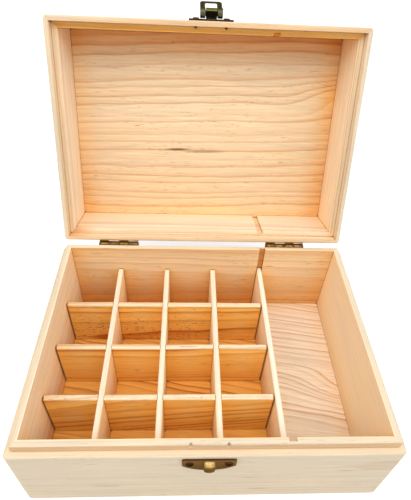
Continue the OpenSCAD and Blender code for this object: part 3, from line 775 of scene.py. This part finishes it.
# %% Model one leaf and copy it
HINGE_L, LEAF_H, LEAF_CORNER, LEAF_GAP = 34.4, 12, 2.2, 0.2
KNUCKLE_R, KNUCKLE_L, KNUCKLE_GAP, CURL_LOW = 2.3, 8.45, 0.2, 1.1
PIN_R, PIN_HOLE_R, PIN_HEAD_R, PIN_HEAD_L = 1.0, 1.05, 1.5, 0.45
PIN_END = HINGE_L / 2 + 0.05
CUT_NEAR, CUT_FAR = 2.4, 3.7
NEAR = 0.01
AXIS_OUT = HINGE_Y - BACK_Y
KNUCKLE_STARTS = [count * (KNUCKLE_L + KNUCKLE_GAP) - HINGE_L / 2 for count in (1, 3)]


def leaf():
    """A leaf that hangs from the axis at the origin, with y as the way out from the wall."""
    sheet = block((-HINGE_L / 2, -AXIS_OUT, -LEAF_H), (HINGE_L / 2, LEAF_T - AXIS_OUT, -LEAF_GAP))
    round_corners(sheet, LEAF_CORNER, 6, lambda first, second:
                  max(first.z, second.z) < -LEAF_H / 2 and abs(first.y - second.y) > LEAF_T / 2)
    for cut in (KNUCKLE_STARTS[0], KNUCKLE_STARTS[0] + KNUCKLE_L, KNUCKLE_STARTS[1]):
        pick(sheet, "faces", everywhere)
        bpy.ops.mesh.bisect(plane_co=(cut, 0, 0), plane_no=(1, 0, 0))
    holes = [rod((s * LEAF_SCREW_X, -5, -LEAF_SCREW_Z), (s * LEAF_SCREW_X, 0, -LEAF_SCREW_Z), HOLE_R, 24)
             for s in (-1, 1)]
    solid(sheet, holes, "DIFFERENCE")
    for start in KNUCKLE_STARTS:
        end = start + KNUCKLE_L
        curl = block((start, 0.4 - AXIS_OUT, -KNUCKLE_R), (end, 0, -CURL_LOW))
        knuckle = rod((start, 0, 0), (end, 0, 0), KNUCKLE_R)
        bore = rod((start - 1, 0, 0), (end + 1, 0, 0), PIN_HOLE_R, 24)
        solid(sheet, [curl, knuckle], "UNION")
        solid(sheet, [bore], "DIFFERENCE")
    return soften(sheet, 0.16, 2)


def is_cut_end(at, normal, x):
    """True on the lid leaf's sheet where it ends beside a knuckle of the base's leaf."""
    from_axis = math.hypot(at.y - HINGE_Y, at.z - HINGE_Z)
    faces_down = normal.dot(open_turn @ Vector((0, 0, -1))) > 0.9
    return (faces_down and CUT_NEAR < from_axis < CUT_FAR
            and any(start < at.x - x < start + KNUCKLE_L for start in KNUCKLE_STARTS))


one_leaf = leaf()
for side, x in zip(("left", "right"), HINGE_X):
    where = shift(x, HINGE_Y, HINGE_Z)
    fit(copy_of(one_leaf), f"{side}_base_leaf", hinge_brass, "base", f"{side}_hinge_base_leaf", where)
    piece = copy_of(one_leaf)
    piece.data.transform(Matrix.Rotation(math.radians(180), 4, "Y"))
    fit(piece, f"{side}_lid_leaf", hinge_brass, "lid", f"{side}_hinge_lid_leaf", open_lid @ where)
    # Painted reflection on the lid leaf's sheet where it ends beside the base's knuckles
    paint(piece, sheet_end_reflection, lambda at, normal: is_cut_end(at, normal, x))
    pin = rod((-PIN_END, 0, 0), (PIN_END, 0, 0), PIN_R, 24)
    heads = [rod((s * PIN_END, 0, 0), (s * (PIN_END + PIN_HEAD_L), 0, 0), PIN_HEAD_R, 24)
             for s in (-1, 1)]
    solid(pin, heads, "UNION")
    fit(soften(pin, 0.2, 2), f"{side}_pin", old_brass, "base", f"{side}_hinge_pin", where)
bpy.data.objects.remove(one_leaf)

# %% [markdown]
# ## Latch plates
# Both plates have one straight edge and one bowed edge. The bow is part of a large circle, so the
# plate starts as a circle that is cut along its straight edge and its two ends. Then it gets its
# thickness and its rounded corners. The screw holes come last, after the edges are soft, because
# the short edges round a hole would hold the bevel back.

# %% Start the two plates
PLATE_W, BOW_R, BOW_DROP, PLATE_CORNER = 34, 24.14, 9.64, 1.2


def at_plate_end(first, second):
    """True for an edge that runs through the thickness at either end of a plate."""
    return (abs(abs(first.x) - PLATE_W / 2) < NEAR and abs(first.x - second.x) < NEAR
            and abs(first.z - second.z) < NEAR)


def bowed_plate(straight_z, side):
    """side is -1 for a plate that hangs down from its straight edge, and 1 for one that stands up."""
    fresh()
    bpy.ops.mesh.primitive_circle_add(vertices=256, radius=BOW_R, fill_type="NGON",
                                      location=(0, FRONT_Y, straight_z - side * BOW_DROP),
                                      rotation=(math.radians(90), 0, 0))
    plate = settle()
    bpy.ops.object.mode_set(mode="EDIT")
    for co, no in (((0, 0, straight_z), (0, 0, -side)), ((-PLATE_W / 2, 0, 0), (-1, 0, 0)),
                   ((PLATE_W / 2, 0, 0), (1, 0, 0))):
        bpy.ops.mesh.select_all(action="SELECT")
        bpy.ops.mesh.bisect(plane_co=co, plane_no=no, clear_outer=True)
    bpy.ops.mesh.select_all(action="SELECT")
    bpy.ops.mesh.extrude_region_move(TRANSFORM_OT_translate={"value": (0, -PLATE_T, 0)})
    bpy.ops.mesh.select_all(action="SELECT")
    bpy.ops.mesh.normals_make_consistent(inside=False)
    round_corners(plate, PLATE_CORNER, 5, at_plate_end)
    return plate


def drill(plate, screw_x, z):
    """Cuts the two screw holes of a plate."""
    holes = [rod((x, FRONT_Y - 3, z), (x, FRONT_Y + 1, z), HOLE_R, 24) for x in (-screw_x, screw_x)]
    solid(plate, holes, "DIFFERENCE")
    fresh(plate)
    bpy.ops.object.shade_smooth_by_angle(angle=SHARP)
    return plate


catch = bowed_plate(CATCH_Z, -1)
hasp = bowed_plate(HASP_Z, 1)
print("edges of the two blanks:", len(catch.data.edges), len(hasp.data.edges))

# %% [markdown]
# ## Catch plate
# The hook is a strap that comes out of the plate's top edge, turns down and ends in a round tongue.
# It starts as a box for the hanging part. The back of its top end is pulled to the plate, and its
# corners are rounded with bevels. The top edge of the plate is darker, and the sides of the hook are
# painted dark as shade.

# %% Model the catch plate
HOOK_W, HOOK_T, HOOK_OUT, HOOK_BEND = 6.9, 1.4, 4.2, 1.1
HOOK_END, HOOK_START, STRAP_LOW, STRAP_RISE, INTO_PLATE = 9.5, 0.9, 2.3, 0.85, 0.5
BEFORE_PLATE = FRONT_Y - PLATE_T - 0.2
hook_y = FRONT_Y - HOOK_OUT
hook = block((-HOOK_W / 2, hook_y - HOOK_T / 2, CATCH_Z - HOOK_END),
             (HOOK_W / 2, hook_y + HOOK_T / 2, CATCH_Z - HOOK_START))
pick(hook, "faces", everywhere)
bpy.ops.mesh.bisect(plane_co=(0, 0, CATCH_Z - STRAP_LOW), plane_no=(0, 0, 1))
pick(hook, "faces", lambda at: at.y > hook_y and at.z > CATCH_Z - STRAP_LOW - NEAR)
to_plate = HOOK_OUT - HOOK_T / 2 - PLATE_T + INTO_PLATE
bpy.ops.mesh.extrude_region_move(TRANSFORM_OT_translate={"value": (0, to_plate, STRAP_RISE)})
pick(hook, "edges", lambda at: abs(at.y - (hook_y - HOOK_T / 2)) < NEAR and at.z > CATCH_Z - 1)
bpy.ops.mesh.bevel(offset=HOOK_BEND, segments=5)
round_corners(hook, HOOK_W / 2 - 0.1, 10, lambda first, second:
              max(first.z, second.z) < CATCH_Z - HOOK_END + 0.5 and abs(first.x - second.x) < NEAR)
solid(catch, [hook], "UNION")
drill(soften(catch, 0.22, 2), CATCH_SCREW_X, CATCH_Z - CATCH_SCREW_DROP)
fit(catch, "plate_and_hook", catch_brass, "base", "catch_plate")
paint(catch, brown_brass, lambda at, normal: normal.z > 0.3 and at.y > BEFORE_PLATE)
# Painted shade: the sides of the hook get the dark brass
paint(catch, dark_brass, lambda at, normal: at.y < BEFORE_PLATE and abs(at.x) > HOOK_W / 2 - 0.3)

# %% [markdown]
# ## Hasp plate
# The lid's plate has a tongue that rolls round the loop's bar. The tongue is a little narrower than
# the roll and a little above the plate's edge. So no two faces lie in one plane, which would make
# the joining of the solids a matter of luck.

# %% Model the hasp plate
LOOP_Y, LOOP_Z, ROLL_R, ROLL_W, BAR_R, PLAY = -96.5, 77.2, 3.6, 8.4, 2.1, 0.05
TONGUE_IN, TONGUE_LOW, TONGUE_HIGH, PAST_ROLL = 0.2, 0.22, 1.45, 9
tongue = block((TONGUE_IN - ROLL_W / 2, LOOP_Y, HASP_Z + TONGUE_LOW),
               (ROLL_W / 2 - TONGUE_IN, FRONT_Y - PLATE_T / 2, HASP_Z + TONGUE_HIGH))
roll = rod((-ROLL_W / 2, LOOP_Y, LOOP_Z), (ROLL_W / 2, LOOP_Y, LOOP_Z), ROLL_R, 64)
bore = rod((-PAST_ROLL, LOOP_Y, LOOP_Z), (PAST_ROLL, LOOP_Y, LOOP_Z), BAR_R + PLAY)
solid(hasp, [tongue, roll], "UNION")
solid(hasp, [bore], "DIFFERENCE")
drill(soften(hasp, 0.22, 2), HASP_SCREW_X, HASP_Z + HASP_SCREW_RISE)
fit(hasp, "plate_and_roll", dark_brass, "lid", "hasp_plate", open_lid)


def beyond_plate(at):
    """True for the tongue and the roll, which stand in front of the plate."""
    return (close_lid @ (at * MM)).y < (FRONT_Y - PLATE_T - 0.05) * MM


# Painted shade: the tongue and the roll are near black, and their faces that turn up and back toward the
# light get a painted olive highlight
up_and_back = Vector((0, 0.28, 0.96))
paint(hasp, roll_painted_shade, lambda at, normal: beyond_plate(at))
paint(hasp, roll_painted_highlight, lambda at, normal: beyond_plate(at) and normal.dot(up_and_back) > 0.45)

# %% [markdown]
# ## Loop
# The loop is a flat frame with a window for the hook, and two eyes beside the roll, joined by the
# bar. It swings on its own joint, so it is modelled hanging down and then turned to its rest angle.

# %% Model the loop
LOOP_REST = math.radians(155)
LOOP_W, LOOP_REACH, LOOP_T, LOOP_CORNER = 17, 20.6, 1.0, 2.6
WINDOW_W, WINDOW_REACH, WINDOW_CORNER = 9.4, 18.8, 1.6
loop = block((-LOOP_W / 2, -LOOP_T / 2, -LOOP_REACH), (LOOP_W / 2, LOOP_T / 2, 0))
window = block((-WINDOW_W / 2, -2, -WINDOW_REACH), (WINDOW_W / 2, 2, 2))
for outline, corner, low in ((loop, LOOP_CORNER, -LOOP_REACH), (window, WINDOW_CORNER, -WINDOW_REACH)):
    round_corners(outline, corner, 8, lambda first, second:
                  max(first.z, second.z) < low + NEAR and abs(first.y - second.y) > LOOP_T / 2)
solid(loop, [window], "DIFFERENCE")
eyes = [rod((s * WINDOW_W / 2, 0, 0), (s * LOOP_W / 2, 0, 0), ROLL_R, 64) for s in (-1, 1)]
bar = rod((-LOOP_W / 2, 0, 0), (LOOP_W / 2, 0, 0), BAR_R)
solid(loop, [*eyes, bar], "UNION")
loop_place = open_lid @ shift(0, LOOP_Y, LOOP_Z) @ Matrix.Rotation(-LOOP_REST, 4, "X")
fit(soften(loop, 0.2, 2), "loop_of_hasp", loop_brass, "hasp_loop", "hasp_loop", loop_place)

# %% [markdown]
# ## Floor and light
# The photograph is cut out on white. The floor is nearly white, and it adds a little light of its
# own for the camera only, and for rays that come from metal, so it reads as white and still takes
# the box's soft shadow. None of that extra light falls on the box.

# %% Floor
def seen_directly(tree):
    """One for rays from the camera and from shiny or clear surfaces, zero for the light on things."""
    path = add(tree, "ShaderNodeLightPath").outputs
    either = calc(tree, "MAXIMUM", path["Is Camera Ray"], path["Is Glossy Ray"])
    return calc(tree, "MAXIMUM", either, path["Is Transmission Ray"])


FLOOR_GLOW = 0.55
fresh()
bpy.ops.mesh.primitive_plane_add(size=8, location=(0, 1.5, 0))
floor = bpy.context.object
floor.name = "studio_floor"
floor_material = bpy.data.materials.new("white floor")
floor_material.use_nodes = True
floor_tree = floor_material.node_tree
floor_shader = floor_tree.nodes["Principled BSDF"]
floor_shader.inputs["Base Color"].default_value = screen(212, 212, 212)
floor_shader.inputs["Roughness"].default_value = 0.9
floor_shader.inputs["Specular IOR Level"].default_value = 0
floor_shader.inputs["Emission Color"].default_value = WHITE
glow = calc(floor_tree, "MULTIPLY", seen_directly(floor_tree), FLOOR_GLOW)
floor_tree.links.new(glow, floor_shader.inputs["Emission Strength"])
floor.data.materials.append(floor_material)
print("floor:", tuple(floor.dimensions))

# %% [markdown]
# ## Lamps and sky
# The shadows in the photograph are soft and fall down the inside of the lid, so the main light is a
# large window high in front. A dim sky fills the rest, so the corners inside stay readable.

# %% Lamps and sky
world = bpy.data.worlds.new("soft room")
bpy.context.scene.world = world
world.use_nodes = True
sky = world.node_tree.nodes["Background"]
sky.inputs["Color"].default_value = WHITE
FILL = 0.52
brightness = calc(world.node_tree, "MULTIPLY_ADD", seen_directly(world.node_tree), 1 - FILL, FILL)
world.node_tree.links.new(brightness, sky.inputs["Strength"])


def lamp(name, place, aim, width, height, power):
    """A rectangular lamp that looks at a place. Lengths are in metres and the power in watts."""
    data = bpy.data.lights.new(name, "AREA")
    data.shape = "RECTANGLE"
    data.size = width
    data.size_y = height
    data.energy = power
    made = bpy.data.objects.new(name, data)
    bpy.context.scene.collection.objects.link(made)
    made.location = place
    made.rotation_euler = (Vector(aim) - Vector(place)).to_track_quat("-Z", "Y").to_euler()
    return made


lamp("long window", (0, -0.95, 2.2), (0, 0.03, 0.08), 2.6, 1.4, 31)
lamp("left softbox", (-1.3, -0.35, 1.15), (0, 0.03, 0.05), 1.2, 1.2, 13)
lamp("right softbox", (1.3, -0.35, 1.15), (0, 0.03, 0.05), 1.2, 1.2, 13)
bpy.context.scene.view_settings.view_transform = "Standard"
print("fill:", FILL)
